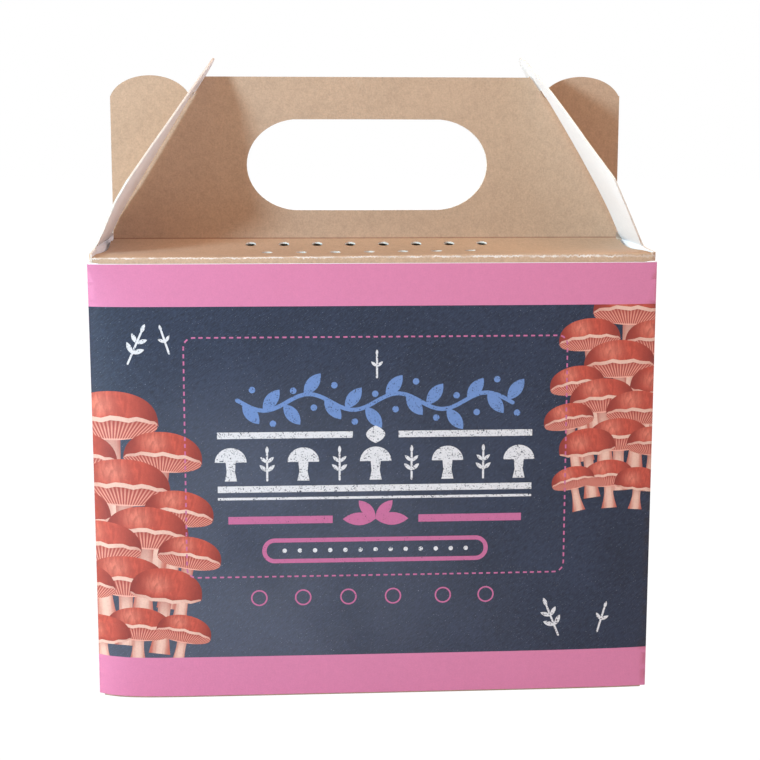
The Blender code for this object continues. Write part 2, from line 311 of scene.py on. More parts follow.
def wall_out(x, z):
    """How far the filled box pushes its front and back walls out, less the rounding at the left."""
    share = within((x + half_width) / (2 * half_width))
    up = within(z / crease_z)
    push = wall_bulge * (1 - exp(-share / 0.06)) * (1 - exp((share - 1) / 0.10))
    push *= (1 - up ** 8) * (1 - 0.55 * (1 - up) ** 10)
    return push - left_retreat(z) * exp(-share / 0.032)


def panel_z(y):
    """Height of a top panel's upper face."""
    share = (half_depth - abs(y)) / (half_depth - handle_face_y)
    return crease_z + panel_rise * within(share) ** panel_power


def spread(start, end, steps, power=1.0):
    """Values from start to end, closer together near the end where power is over 1."""
    return [end + (start - end) * (1 - step / steps) ** power for step in range(steps + 1)]


def fold_grid(name, columns, rows, place):
    """A flat grid of board whose points go where place(column share, row number) says."""
    pick()
    bpy.ops.mesh.primitive_grid_add(x_subdivisions=columns, y_subdivisions=rows, size=1)
    sheet = bpy.context.object
    sheet.name = name
    for vertex in sheet.data.vertices:
        vertex.co = place(vertex.co.x * 2, round((vertex.co.y + 0.5) * rows))
    return sheet


def finish_with(piece, modifier):
    bpy.context.view_layer.objects.active = piece
    bpy.ops.object.modifier_apply(modifier=modifier.name)


def thicken(sheet, thickness, materials, inner=1, rim=2, even=True):
    """Gives a folded sheet its thickness inward: outer face, inner face and cut edges."""
    for finish in materials:
        sheet.data.materials.append(finish)
    solid = sheet.modifiers.new("thickness", "SOLIDIFY")
    solid.thickness = thickness
    solid.offset = -1
    solid.use_even_offset = even
    solid.material_offset = inner
    solid.material_offset_rim = rim
    finish_with(sheet, solid)


def smooth(piece, degrees):
    """Shades a piece smooth, but for edges that turn by more than an angle."""
    pick(piece)
    bpy.ops.object.shade_smooth_by_angle(angle=radians(degrees))


def settle():
    """Puts the place, turn and size of what is selected into its mesh."""
    bpy.ops.object.transform_apply(location=True, rotation=True, scale=True)


def join(name, pieces):
    pick(*pieces)
    bpy.ops.object.join()
    settle()
    whole = bpy.context.object
    whole.name = name
    whole.data.name = name
    return whole


def take_away(target, cutter):
    punch = target.modifiers.new("punch", "BOOLEAN")
    punch.operation = "DIFFERENCE"
    punch.object = cutter
    finish_with(target, punch)
    bpy.data.objects.remove(cutter)


def cut(target, cutters):
    """Punches cutters out of target; the punched faces get its cut edge material."""
    for cutter in cutters:
        pick(cutter)
        settle()
        for finish in target.data.materials:
            cutter.data.materials.append(finish)
        cutter.data.polygons.foreach_set("material_index", [2] * len(cutter.data.polygons))
        take_away(target, cutter)


def box_between(low, high):
    pick()
    middle = (Vector(low) + Vector(high)) / 2
    bpy.ops.mesh.primitive_cube_add(size=1, location=middle, scale=Vector(high) - Vector(low))
    return bpy.context.object


def slab(outline, low_z, high_z):
    """A flat block with an outline in plan, given counter-clockwise or clockwise."""
    form = bmesh.new()
    face = form.faces.new([form.verts.new((x, y, low_z)) for x, y in outline])
    raised = bmesh.ops.extrude_face_region(form, geom=[face])["geom"]
    bmesh.ops.translate(form, vec=(0, 0, high_z - low_z),
                        verts=[v for v in raised if isinstance(v, bmesh.types.BMVert)])
    bmesh.ops.recalc_face_normals(form, faces=form.faces)
    mesh = bpy.data.meshes.new("slab")
    form.to_mesh(mesh)
    form.free()
    block = bpy.data.objects.new("slab", mesh)
    bpy.context.collection.objects.link(block)
    return block


def quarter_turn(steps, first=1):
    return [pi / 2 * step / steps for step in range(first, steps + 1)]


def arc(x, z, width, height, angles):
    """Points on an ellipse round (x, z) with that half width and half height."""
    return [(x + width * cos(angle), z + height * sin(angle)) for angle in angles]


# Rows of the folded sheet, as (depth towards the front, height, half width, follows the bulge)
bottom_gap, wall_half_width = 0.0002, half_width - 0.0012
shoulder_y, tongue_y = 0.010, -0.016    # the bottom flap ends at the shoulder, its tongue beyond
bottom_rows = [(tongue_y, 0.027), (tongue_y + 0.001, 0.028), (0.0, 0.0305), (shoulder_y - 0.001, 0.033),
               (shoulder_y - 0.0004, 0.036), (shoulder_y, 0.062), (shoulder_y + 0.001, 0.064)]
bottom_rows += [(y, 0.054 + y) for y in spread(0.018, half_depth - crease_radius - 0.001, 4)]
profile = [(y, bottom_gap, width, y / half_depth) for y, width in bottom_rows]
profile += [(half_depth - crease_radius * (1 - sin(angle)), bottom_gap + crease_radius * (1 - cos(angle)),
             wall_half_width, 1) for angle in quarter_turn(4, 0)]
wall_top_z = crease_z - crease_radius
profile += [(half_depth, z, wall_half_width, 1) for z in spread(0.004, wall_top_z, 16, 1.5)]
profile += [(half_depth - crease_radius * (1 - cos(angle)), wall_top_z + crease_radius * sin(angle),
             panel_half_width, 1) for angle in quarter_turn(4)]
handle_foot_y = handle_face_y + handle_crease_radius
panel_rows = spread(half_depth - crease_radius, handle_foot_y, 20)[1:]
profile += [(y, panel_z(y), panel_half_width, 0) for y in panel_rows]
profile += [(handle_foot_y - handle_crease_radius * sin(angle),
             panel_z(handle_foot_y) + handle_crease_radius * (1 - cos(angle)), panel_half_width, 0)
            for angle in quarter_turn(3)]
profile += [(handle_face_y, z, panel_half_width, 0) for z in spread(profile[-1][1], ear_top_z, 16)[1:]]


def crease_lift(x):
    """The top crease lies a little lower at its left end than at its right."""
    return -0.0001 + 0.0012 * within((x + 0.070) / 0.150)


def near_crease(towards, height):
    """One at the top crease, zero well below it and at the handle."""
    if height < crease_z - 0.0005:
        return within((height - 0.168) / 0.008)
    return within(towards / half_depth)


def place_front(share, row):
    towards, height, width, follows = profile[row]
    x = share * width
    if follows:
        towards += follows * wall_out(x, height)
    elif towards > handle_foot_y:
        mid = max(sin(pi * (half_depth - towards) / half_depth), 0) ** 1.5
        height -= panel_sag * mid * cos(pi * share / 2)
    return Vector((x, -towards, height + crease_lift(x) * near_crease(towards, height)))


def place_back(share, row):
    """The back is the front's mirror image, but its bottom flap rises to lie inside the tongue."""
    spot = place_front(-share, row)
    if row < len(bottom_rows):
        spot.z += 0.00115 * min((half_depth + spot.y) / 0.030, 1)
        spot.x *= 1.15 if row < 5 else 1
    return Vector((spot.x, -spot.y, spot.z))


sheets = [fold_grid("carton_front", 72, len(profile) - 1, place_front),
          fold_grid("carton_back", 72, len(profile) - 1, place_back)]
for sheet in sheets:
    thicken(sheet, board, board_materials)
carton = join("carton", sheets)


def curve_through(points, at):
    """Height at a place on the smooth curve through points."""
    number = max([i for i, point in enumerate(points[:-1]) if point[0] <= at], default=0)
    (x0, y0), (x1, y1) = points[number], points[number + 1]
    before, after = points[max(number - 1, 0)], points[min(number + 2, len(points) - 1)]
    share = within((at - x0) / (x1 - x0))
    rise0 = (y1 - before[1]) / (x1 - before[0]) * (x1 - x0)
    rise1 = (after[1] - y0) / (after[0] - x0) * (x1 - x0)
    return ((2 * share ** 3 - 3 * share ** 2 + 1) * y0 + (share ** 3 - 2 * share ** 2 + share) * rise0
            + (3 * share ** 2 - 2 * share ** 3) * y1 + (share ** 3 - share ** 2) * rise1)


def flap_spot(side, along, off, across=0.0):
    """(x, z) on a lock flap, x outward: along it from its crease, off its outer face outward."""
    mid, edge = curve_through(flap_middle[side], along), curve_through(flap_edge[side], along)
    out = off + mid + (edge - mid) * min(abs(across) / 0.040, 1) ** 2
    return (half_width - sin(flap_lean) * along + cos(flap_lean) * out,
            side_crease_z + cos(flap_lean) * along + sin(flap_lean) * out)


# Hand hole: a slot with long round ends, punched through both handle panels
hole_length, hole_height, hole_end, hole_z = 0.1003, 0.0377, 0.0218, 0.2110
past_board, past_top, past_end = 0.004, 0.26, 0.13      # how far punches reach beyond the board
end_x = -(hole_length - hole_height) / 2
pick()
bpy.ops.mesh.primitive_cylinder_add(vertices=56, radius=hole_height / 2, depth=0.008,
                                    location=(end_x, 0, hole_z), rotation=(pi / 2, 0, pi / 56))
hole = bpy.context.object
settle()
for vertex in hole.data.vertices:
    vertex.co.x = (vertex.co.x - end_x) * hole_end / (hole_height / 2) - hole_length / 2 + hole_end
    if vertex.co.x > hole_end - hole_length / 2:
        vertex.co.x += hole_length - 2 * hole_end
cutters = [hole, box_between((-0.0675, -past_board, handle_top_z), (0.0675, past_board, past_top))]

# Ears: the round top outside each notch, and the notch that the lock flap stands in
ear_x, ear_rise, ear_reach, handle_end_x = 0.0895, 0.0115, 0.0168, 0.1058
notch_along, notch_room, notch_height = 0.0693, 0.0006, 0.03
for side in (-1, 1):
    outer = Vector(flap_spot(side, notch_along, notch_room))
    inner = Vector(flap_spot(side, notch_along, -board - notch_room))
    rise = Vector(flap_spot(side, flap_length, -board - notch_room)) - inner
    middle = (outer + inner) / 2 + rise.normalized() * notch_height / 2
    half = (outer - inner).length / 2
    notch = box_between((-half, -past_board, -notch_height / 2), (half, past_board, notch_height / 2))
    notch.rotation_euler.y = side * atan2(rise.x, rise.y)
    notch.location = (side * middle.x, 0, middle.y)
    cutters.append(notch)

    # What is cut away outside the notch: a leaning block less the ear's round top
    corner = box_between((outer.x - 0.0002, -past_board, outer.y), (past_end, past_board, past_top))
    settle()
    for vertex in corner.data.vertices:
        if vertex.co.x < 0.1 and vertex.co.z > 0.25:
            vertex.co.x -= tan(flap_lean) * (past_top - outer.y)
    bpy.ops.mesh.primitive_cylinder_add(vertices=96, radius=1, depth=0.02,
                                        location=(ear_x, 0, ear_top_z - ear_rise),
                                        rotation=(pi / 2, 0, 0), scale=(ear_reach, ear_rise, 1))
    take_away(corner, bpy.context.object)
    if side < 0:
        corner.data.transform(Matrix.Scale(-1, 4, (1, 0, 0)))
        corner.data.flip_normals()
    cutters.append(corner)

    # Outside the ear, and the relief of the top panels' ends: a quarter ellipse leads from the end of
    # each panel to a tab at each corner.
    low_x, high_x = sorted((side * handle_end_x, side * past_end))
    cutters.append(box_between((low_x, -0.0035, crease_z + 0.0005), (high_x, 0.0035, past_top)))
    edge = [(0.1067, 0.0), (0.1066, 0.006), (0.1063, 0.013)]
    edge += arc(0.1160, 0.018, -0.0097, 0.0265, quarter_turn(12, 0)) + [(0.135, 0.0445)]
    outline = [(x, -y) for x, y in edge] + [(x, y) for x, y in reversed(edge[1:])]
    cutters.append(slab([(side * x, y) for x, y in outline], crease_z - 0.004, 0.1815))

# Vents: two staggered rows of holes in each top panel, a little longer from front to back
vent_radius, vent_length, vent_pitch, vent_z = 0.0022, 1.3, 0.01375, 0.178
vents = []
for row_y, count, first_x in ((0.0085, 8, -0.0488), (0.0260, 7, -0.0420)):
    for place in [(first_x + number * vent_pitch, side * row_y, vent_z)
                  for number in range(count) for side in (-1, 1)]:
        pick()
        bpy.ops.mesh.primitive_cylinder_add(vertices=24, radius=1, depth=0.014, location=place,
                                            scale=(vent_radius, vent_radius * vent_length, 1))
        vents.append(bpy.context.object)
cutters.append(join("vents", vents))
cut(carton, cutters)

# Side walls: each wraps round its two corners, rises to the lock flap's crease, and folds in at the
# bottom as a flap that lies between the front's and the back's. Its top is drawn in a little. On the
# left the front corner is slit down to the sleeve, so that the wall ends there in a cut edge.
corner_radius, corner_steps, straight_steps = 0.0012, 4, 24
wall_dent, dent_low_z, dent_height, dent_half_width = 0.0025, 0.150, 0.0296, 0.034
slit_z, drop_z, pull_z, fold_z = 0.172, 0.173, 0.1745, 0.0012
side_profile = [(half_width, z) for z in (*spread(side_crease_z - 0.0001, 0.1730, 8),
                                          *spread(0.1700, 0.1500, 6),
                                          *spread(0.1400, fold_z + crease_radius, 10))]
side_profile += [(half_width - crease_radius * (1 - cos(angle)), fold_z + crease_radius * (1 - sin(angle)))
                 for angle in quarter_turn(4)]
side_wall_rows = len(side_profile)
side_profile += [(x, fold_z) for x in spread(half_width - crease_radius - 0.002, 0.050, 6)]


def place_side(side, share, row):
    x, z = side_profile[row]
    if row < side_wall_rows - 4:
        step = share * (straight_steps + corner_steps)
        y = step / straight_steps * (half_depth - corner_radius)
        round_the_corner = abs(step) - straight_steps
        if round_the_corner > 0:
            if side < 0 and step < 0 and z > slit_z:
                x -= 0.0005 * round_the_corner / corner_steps
                y = half_depth - corner_radius * (1 - round_the_corner / corner_steps)
            else:
                angle = pi / 2 * round_the_corner / corner_steps
                x -= corner_radius * (1 - cos(angle))
                y = half_depth - corner_radius * (1 - sin(angle))
            y = y if step > 0 else -y
        if side < 0:
            y *= 1 - left_retreat(z) / half_depth
        if z > dent_low_z:
            dent = wall_dent * sin(pi * min((z - dent_low_z) / dent_height, 1) ** 3.6)
            x -= dent * max(1 - (abs(y) / dent_half_width) ** 4, 0)
        if side > 0 and z > pull_z:
            fade = 1 - max(round_the_corner, 0) / corner_steps
            x += 0.0005 * min((z - pull_z) / 0.001, 1) * min(abs(y) / half_depth, 1) ** 4 * fade
        if z > drop_z:
            drop = within((abs(y) - flap_root) / (half_depth - flap_root)) ** 0.6
            z = drop_z + (z - drop_z) * (1 - drop * (side_crease_z - corner_z) / (side_crease_z - drop_z))
        return Vector((side * x, y, z))
    inward = half_width - crease_radius - x
    room = 0.0520 - (corner_round if side < 0 else 0)
    front_end, back_end = -room + 0.05 * inward, min(room - 0.05 * inward, 0.056 - 1.5 * inward)
    if row < side_wall_rows:
        back_end = room + 0.0005
    return Vector((side * x, (front_end + back_end) / 2 + share * (back_end - front_end) / 2, z))


for side in (-1, 1):
    wall = fold_grid("side_wall", 2 * (straight_steps + corner_steps), len(side_profile) - 1,
                     lambda share, row: place_side(side, share, row))
    if side > 0:
        wall.data.flip_normals()
    thicken(wall, board, board_materials)
    carton = join("carton", [carton, wall])
smooth(carton, 35)
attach(carton, "carton")
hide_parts("carton_body", "front_handle_leaf", "back_handle_leaf")

# Lock flaps: one on each side wall's top crease, of the same board, bowed a little and slotted from
# near the crease almost to the tip, so that it stands over the two ears and holds the handle shut.
flap_outline = [(0.0350, 0.0001), (0.0355, 0.0019), (0.0391, 0.0091), (0.0453, 0.0207), (0.0505, 0.0300),
                (0.0510, 0.0314), (0.0502, 0.0330), (0.0432, 0.0420), (0.0339, 0.0549), (0.0210, 0.0715),
                (0.0130, 0.0795)]
flap_outline += arc(0, 0.077, 0.0115, 0.0115, [radians(angle) for angle in range(25, 81, 11)])
slot_half, slot_wide, slot_start, slot_end = 0.0017, 0.0028, 0.0046, 0.0726


def cut_sheet(name, shapes, nodes, place):
    """A sheet cut to its first shape, with the others marked on it. Each face comes from the last
    shape that it lies in; place gives a flat point's place in space. Faces in a shape whose look
    is None are left out. A shape is (outline, look, local), where local gives marks coordinates."""
    points, faces = [], []
    for outline, look, local in shapes:
        fine = []
        for start, end in zip(outline, outline[1:] + outline[:1]):
            start, end = Vector(start), Vector(end)
            pieces = max(int((end - start).length / 0.006), 1)
            fine += [start.lerp(end, piece / pieces) for piece in range(pieces)]
        faces.append(list(range(len(points), len(points) + len(fine))))
        points += fine
    points += [Vector(point) for point in nodes]
    flat, _, cells, _, _, origins = delaunay_2d_cdt(points, [], faces, 1, 1e-6)
    mesh = bpy.data.meshes.new(name)
    kept = [(cell, max(origin)) for cell, origin in zip(cells, origins)
            if origin and shapes[max(origin)][1] is not None]
    mesh.from_pydata([place(*point) for point in flat], [], [cell for cell, _ in kept])
    mesh.polygons.foreach_set("material_index", [shapes[shape][1] for _, shape in kept])
    lay = mesh.uv_layers.new(name="lay")
    marks = mesh.uv_layers.new(name="marks")
    loop = 0
    for cell, shape in kept:
        for corner in cell:
            lay.data[loop].uv = flat[corner]
            marks.data[loop].uv = shapes[shape][2](*flat[corner]) if shapes[shape][2] else (0, 0)
            loop += 1
    sheet = bpy.data.objects.new(name, mesh)
    bpy.context.collection.objects.link(sheet)
    clean = bmesh.new()
    clean.from_mesh(mesh)
    bmesh.ops.remove_doubles(clean, verts=clean.verts, dist=1e-7)
    loose = [vertex for vertex in clean.verts if not vertex.link_faces]
    bmesh.ops.delete(clean, geom=loose, context="VERTS")
    clean.to_mesh(mesh)
    clean.free()
    return sheet


def mirrored(half):
    """A whole outline from its right half."""
    return half + [(-across, up) for across, up in reversed(half)]


slot_outline = [(slot_half, slot_start), (slot_half, 0.0120), (slot_wide, 0.0280),
                (slot_wide, slot_end - 0.001), (slot_wide - 0.001, slot_end)]
flap_shapes = [(mirrored(flap_outline), 0, None), (mirrored(slot_outline), None, None)]
nodes = [(across * 0.006, up * 0.003) for across in range(-8, 9) for up in range(1, 29)]
for side, body in ((-1, "left_flap"), (1, "right_flap")):
    def place_flap(across, up):
        x, z = flap_spot(side, up, 0, across)
        return Vector((side * x, side * across, z))

    flap = cut_sheet("lock_" + body, flap_shapes, nodes, place_flap)
    thicken(flap, board, board_materials)
    smooth(flap, 35)
    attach(flap, body)
    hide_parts(body.replace("_", "_lock_"))

# Printed sleeve: a band of white card round the carton's walls, glued along a lap on the left side.
# Front and back are printed like a slate with pink bands, chalk lines and coral mushrooms; the sides
# are plain pink. It is cut flat with its print, then bent round the carton.
_, sleeve_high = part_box("printed_sleeve")
sleeve_x, sleeve_y, card, sleeve_fold = sleeve_high.x, 0.0548, 0.0005, 0.0006
flat_x, flat_y, fold_arc = sleeve_x - sleeve_fold, sleeve_y - sleeve_fold, sleeve_fold * pi / 2
quarter_round = flat_x + flat_y + fold_arc
slate_low, slate_high = 0.0176, 0.1580
SLATE, PINK, CAP, GILLS, STEM, WHITE, BLUE, ROSE, CARD = range(9)


def place_sleeve(along, up):
    """Bends the flat sleeve round the carton; along is measured from the middle of the front."""
    behind = along > quarter_round
    along -= 2 * quarter_round if behind else 0
    side, reach = (1 if along > 0 else -1), abs(along)
    x, y = along, -sleeve_y
    if reach > flat_x + fold_arc:
        x, y = side * sleeve_x, reach - flat_x - fold_arc - flat_y
    elif reach > flat_x:
        angle = (reach - flat_x) / sleeve_fold
        x, y = side * (flat_x + sleeve_fold * sin(angle)), sleeve_fold * (1 - cos(angle)) - sleeve_y
    if behind:
        x, y = -x, -y
    if reach <= flat_x:
        y += wall_out(x, up) if behind else -wall_out(x, up)
    elif x < 0:
        y *= 1 - left_retreat(up) / sleeve_y
    return Vector((x, y, up))


def circle(x, z, radius, corners):
    return arc(x, z, radius, radius, [2 * pi * step / corners for step in range(corners)])


def stroke(line, width, round_end=True):
    """A chalk stroke of even width along a line of points."""
    line = [Vector(point) for point in line]
    left, right = [], []
    for number, point in enumerate(line):
        ahead = (line[min(number + 1, len(line) - 1)] - line[max(number - 1, 0)]).normalized()
        aside = Vector((-ahead.y, ahead.x)) * width / 2
        left.append(point + aside)
        right.append(point - aside)
    ends = []
    for spot, first in ((line[-1], right[-1]), (line[0], left[0])):
        arc = [Matrix.Rotation(pi * step / 5, 2) @ (first - spot) + spot for step in range(1, 5)]
        ends.append(arc if round_end else [])
    return [tuple(point) for point in right + ends[0] + left[::-1] + ends[1]]


def plain(look, *outlines):
    """Shapes of one look, with no measures of their own."""
    return [(outline, look, None) for outline in outlines]


def from_foot(x, z, angle, points):
    """Points given across and up from a foot at (x, z) that leans by angle in degrees."""
    turn = radians(angle)
    return [(x + across * cos(turn) + up * sin(turn), z - across * sin(turn) + up * cos(turn))
            for across, up in points]


def leaf(x, z, length, width, angle):
    side = [(width / 2 * sin(pi * step / 8) ** 0.8, length * step / 8) for step in range(9)]
    return from_foot(x, z, angle, side + [(-across, up) for across, up in side[-2:0:-1]])


def sprig(x, z, height, angle, pairs, look):
    """A stem with pairs of leaves and one at its tip."""
    shares = [(pair + 1) / (pairs + 1) for pair in range(pairs)]
    *feet, tip = from_foot(x, z, angle, [(0, height * share) for share in shares + [1]])
    parts = plain(look, stroke([(x, z), tip], 0.0008))
    for share, foot in zip(shares, feet):
        size = height * (0.42 - 0.12 * share)
        parts += plain(look, *[leaf(*foot, size, size * 0.38, angle + way * 48) for way in (-1, 1)])
    return parts + plain(look, leaf(*tip, height * 0.3, height * 0.12, angle))


def mushroom(x, z, height, radius, lean, underside):
    """A printed mushroom with its foot at (x, z): stem, gills where it is seen from below, and cap."""
    turn = radians(lean)

    def own(scale_x, low, scale_z):
        def marks(px, pz):
            across, up = px - x, pz - z
            return ((across * cos(turn) - up * sin(turn)) / scale_x,
                    (across * sin(turn) + up * cos(turn) - low) / scale_z)
        return marks

    half = radius * 0.24
    rise = [step / 8 for step in range(9)]
    stem = mirrored([(half * (1.25 - 0.55 * sin(pi * share * 0.75)), height * share) for share in rise])
    parts = [(from_foot(x, z, lean, stem), STEM, own(half * 1.25, 0, height))]
    dome, gill_depth, waves = radius * 0.78, radius * 0.26, 0.03 * radius
    if underside:
        gills = arc(0, height, radius * 0.98, gill_depth, [2 * pi * step / 32 for step in range(32)])
        parts.append((from_foot(x, z, lean, gills), GILLS, own(radius, height, gill_depth)))
    sag = gill_depth * (0.55 if underside else -0.75)
    top = [(radius * cos(pi * step / 24), height + dome * sin(pi * step / 24) ** 0.75)
           for step in range(25)]
    rim = [(-radius * cos(pi * step / 16), height + sag * sin(pi * step / 16)
            + waves * sin(pi * step / 16) * sin(step * 2.1 + x * 900)) for step in range(1, 16)]
    parts.append((from_foot(x, z, lean, top + rim), CAP, own(radius, height + min(sag, 0), dome)))
    lip = [(across, up + radius * 0.10 * sin(pi * (step + 1) / 16) ** 0.6)
           for step, (across, up) in enumerate(rim)]
    pale_edge = from_foot(x, z, lean, rim + lip[::-1])
    parts.append((pale_edge, STEM, own(radius * 1.9, height - dome, dome * 5)))
    return parts


def cluster(x, z, size, way):
    """A tuft of mushrooms that grow from one place, the rear ones first."""
    tuft = ((0.00, 0.40, 0.46, 0.170, -2, True), (0.13, 0.34, 0.40, 0.140, 5, True),
            (-0.11, 0.34, 0.38, 0.150, -5, True), (0.02, 0.26, 0.36, 0.165, 1, True),
            (0.17, 0.20, 0.34, 0.125, 8, True), (-0.13, 0.22, 0.30, 0.140, -6, False),
            (0.08, 0.14, 0.32, 0.150, 4, True), (-0.05, 0.14, 0.26, 0.150, -3, True),
            (0.20, 0.08, 0.30, 0.115, 10, True), (0.02, 0.06, 0.22, 0.145, 1, True),
            (0.14, 0.03, 0.22, 0.130, 7, False), (-0.12, 0.05, 0.20, 0.130, -6, True),
            (0.06, -0.02, 0.13, 0.120, 3, True), (0.20, -0.03, 0.13, 0.100, 12, True),
            (-0.06, -0.03, 0.11, 0.110, -5, False))
    parts = []
    for across, up, height, radius, lean, underside in tuft:
        parts += mushroom(x + way * across * size, z + up * size, height * size, radius * size,
                          way * lean, underside)
    return parts


path_step, dash, dash_gap, dash_width = 0.0002, 0.00175, 0.0012, 0.00062
window_low_z, window_radius, ring_z, ring_outer, ring_inner = 0.0505, 0.0037, 0.0418, 0.0033, 0.0027


def rounded_path(low_x, low_z, high_x, high_z, radius):
    """Close points round a rectangle with round corners."""
    path = []
    for cx, cz, first in ((high_x - radius, high_z - radius, 0), (low_x + radius, high_z - radius, 90),
                          (low_x + radius, low_z + radius, 180), (high_x - radius, low_z + radius, 270)):
        angles = [radians(first + angle) for angle in range(0, 91, 10)]
        path += [Vector(point) for point in arc(cx, cz, radius, radius, angles)]
    path.append(path[0])
    fine = []
    for start, end in zip(path, path[1:]):
        pieces = max(round((end - start).length / path_step), 1)
        fine += [start.lerp(end, piece / pieces) for piece in range(pieces)]
    return fine


def dashed(path, dash, gap, width, look):
    count = round(len(path) * path_step / (dash + gap))
    step = len(path) / count
    parts = []
    for number in range(count):
        first = int(number * step)
        line = path[first:first + round(dash / path_step) + 1:4]
        if len(line) > 1:
            parts += plain(look, stroke(line, width, False))
    return parts


def moved(parts, shift):
    """The same shapes further along the sleeve, with their marks."""
    result = []
    for outline, look, local in parts:
        marks = None if local is None else (lambda px, pz, own=local: own(px - shift, pz))
        result.append(([(x + shift, z) for x, z in outline], look, marks))
    return result


def window(low_x, high_x, high_z, ring_places):
    """A dashed window over a row of rings."""
    path = rounded_path(low_x, window_low_z, high_x, high_z, window_radius)
    parts = dashed(path, dash, dash_gap, dash_width, ROSE)
    for x in ring_places:
        parts += plain(ROSE, circle(x, ring_z, ring_outer, 32))
        parts += plain(SLATE, circle(x, ring_z, ring_inner, 32))
    return parts


# Front print, from the middle of the front. The two tufts grow in from the edges.
front = cluster(-0.1015, 0.016, 0.110, 1) + cluster(0.0990, 0.078, 0.088, -1)
front += window(-0.0745, 0.0755, 0.1460, (-0.0462, -0.0288, -0.0108, 0.0070, 0.0270, 0.0442))
# Chalk ornament: a blue garland over a white row of mushrooms and leaves between rules, and a pink
# sprig and oval under them
vine = [(0.001 * x, 0.1205 + 0.0032 * sin(x * 0.18)) for x in range(-54, 55, 2)]
front += plain(BLUE, stroke(vine, 0.0016))
for number, x in enumerate(range(-52, 56, 8)):
    way = 1 if number % 2 else -1
    foot = (0.001 * x, 0.1205 + 0.0032 * sin(x * 0.18))
    front += plain(BLUE, leaf(*foot, 0.0105, 0.0050, 38 if way > 0 else 142),
                   circle(foot[0] + 0.0038, foot[1] - way * 0.0052, 0.0013, 12))
front += sprig(0.0005, 0.1300, 0.0085, 0, 1, WHITE)
for low, high, z, width in ((-0.062, -0.009, 0.1075, 0.0026), (0.009, 0.062, 0.1075, 0.0026),
                            (-0.062, 0.062, 0.0860, 0.0026), (-0.062, 0.062, 0.0822, 0.0010)):
    front += plain(WHITE, stroke([(low, z), (high, z)], width, False))
front += plain(WHITE, leaf(0, 0.1040, 0.0070, 0.0075, 0))
for number in range(9):
    x = (number - 4) * 0.0142
    if number % 2:
        front += sprig(x, 0.0895, 0.0105, 0, 2, WHITE)
    else:
        cap = arc(x, 0.0968, 0.0062, 0.0058, [pi * step / 16 for step in range(17)])
        foot = [(x - 0.0020, 0.0972), (x - 0.0016, 0.0930), (x - 0.0024, 0.0893), (x + 0.0024, 0.0893),
                (x + 0.0016, 0.0930), (x + 0.0020, 0.0972)]
        front += plain(WHITE, foot, cap)
for side in (-1, 1):
    front += plain(ROSE, stroke([(side * 0.0580, 0.0735), (side * 0.0170, 0.0735)], 0.0030, False),
                   leaf(0, 0.0735, 0.0130, 0.0052, side * 90), leaf(0, 0.0735, 0.0100, 0.0044, side * 42))
oval = rounded_path(-0.0440, 0.0568, 0.0440, 0.0652, 0.0041)[::4]
front += plain(WHITE, *[circle(0.001 * x, 0.0610, 0.0009, 10) for x in range(-36, 37, 6)])
front += plain(ROSE, stroke(oval[:len(oval) // 2 + 1], 0.0017),
               stroke(oval[len(oval) // 2:] + oval[:1], 0.0017))
front += sprig(-0.0960, 0.1360, 0.0130, 24, 2, WHITE) + sprig(-0.0800, 0.1400, 0.0090, -18, 1, WHITE)
front += sprig(0.0740, 0.0240, 0.0130, -22, 2, WHITE) + sprig(0.0900, 0.0250, 0.0100, 16, 1, WHITE)

# Back print: the same bands, window and rings round one tuft
back = cluster(-0.006, 0.052, 0.100, 1)
back += window(-0.0755, 0.0745, 0.1520, (-0.0442, -0.0270, -0.0070, 0.0108, 0.0288, 0.0462))
for side in (-1, 1):
    back += sprig(side * 0.0920, 0.0650, 0.0240, side * 8, 3, WHITE)
    back += sprig(side * 0.0600, 0.0600, 0.0200, side * 20, 2, BLUE)


def band(start, end, low, high, look):
    return ([(start, low), (end, low), (end, high), (start, high)], look, None)


first, last, middle_of_back = -quarter_round, 3 * quarter_round, 2 * quarter_round
low_z, high_z, card_edge = 0.0013, sleeve_high.z + 0.0005, 0.00016
shapes = [band(first, last, low_z, high_z, SLATE)] + front + moved(back, middle_of_back)
shapes += [band(first, last, low, high, PINK) for low, high in ((low_z, slate_low), (slate_high, high_z))]
turned = flat_x + 0.7 * fold_arc
shapes += [band(start, end, low_z, high_z, PINK) for start, end in (
    (first, -turned), (turned, middle_of_back - turned), (middle_of_back + turned, last))]
shapes.append(band(first, last, high_z - card_edge, high_z, CARD))
near_fold = [flat_x - step for step in (0.0005, 0.0013, 0.0024, 0.0036, 0.0048, 0.0090)]
near_fold += [flat_x + fold_arc * step / 3 for step in (1, 2, 3)]
near_fold += [flat_x + fold_arc + flat_y * step / 8 for step in range(1, 9)]
stops = [flat_x * step / 18 for step in range(-18, 19)] + near_fold + [-stop for stop in near_fold]
levels = [low_z + (high_z - low_z) * step / 24 for step in range(25)]
nodes = sorted({(round(x + shift, 7), z) for x in stops for z in levels
                for shift in (0, middle_of_back)})
sleeve = cut_sheet("printed_sleeve_band", shapes, nodes, place_sleeve)


def on_sleeve(tree, layer="lay"):
    """Place on the flat sleeve, or with the layer marks in a printed shape's own measures."""
    return add_node(tree, "UVMap", uv_map=layer).outputs[0]


def lay_over(colour, top, value, low, high, low_out=0.0, high_out=1.0):
    """The colour, with top laid over it as value goes from low to high."""
    return blend_colours(between(value, low, high, low_out, high_out), colour, top)


